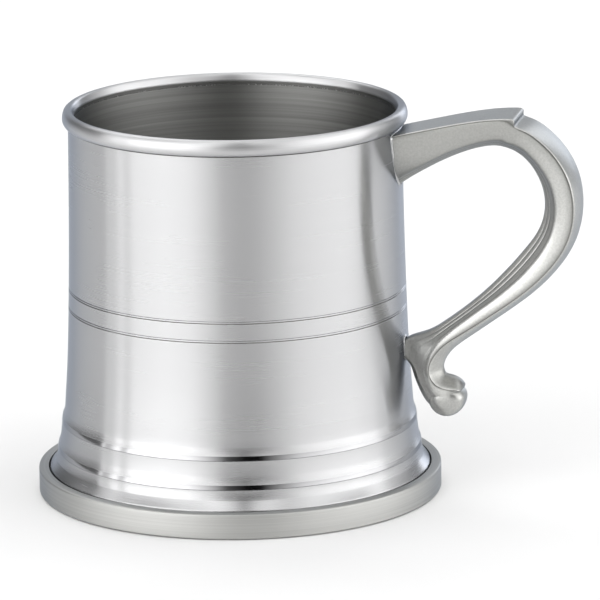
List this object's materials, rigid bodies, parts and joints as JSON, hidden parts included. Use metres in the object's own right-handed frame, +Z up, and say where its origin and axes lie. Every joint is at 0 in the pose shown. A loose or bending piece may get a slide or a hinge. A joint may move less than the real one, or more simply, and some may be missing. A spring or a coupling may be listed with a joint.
{
  "type": "tankard",
  "caption": "Lidless pewter tankard: a tapering drum with turned lines, a rolled rim, a stepped skirt on a broad foot ring, and a cast scroll handle with a flat thumb rest.",
  "frame": {"origin": "on the drum's axis, in the plane the foot ring stands on", "axes": "+Z up along the drum's axis, +X from the drum towards the handle; the XZ plane is the handle's plane of symmetry"},
  "size_m": [0.1502, 0.11, 0.1062],
  "materials": {
    "polished_pewter": "polished with fine turning marks, softly blurred reflections",
    "foot_pewter": "satin, brushed round the ring",
    "inside_pewter": "brushed in circles, dull",
    "cast_pewter": "satin casting, smoothed by hand",
    "solder": "smooth and slightly bright"
  },
  "bodies": {
    "root": {"drum_shell": "polished_pewter", "rim_bead": "polished_pewter", "foot_ring": "foot_pewter", "floor_plate": "inside_pewter", "handle": "cast_pewter", "rim_solder": "solder", "floor_solder": "solder", "foot_ring_solder": "solder", "upper_handle_solder": "solder", "lower_handle_solder": "solder"}
  },
  "joints": []
}
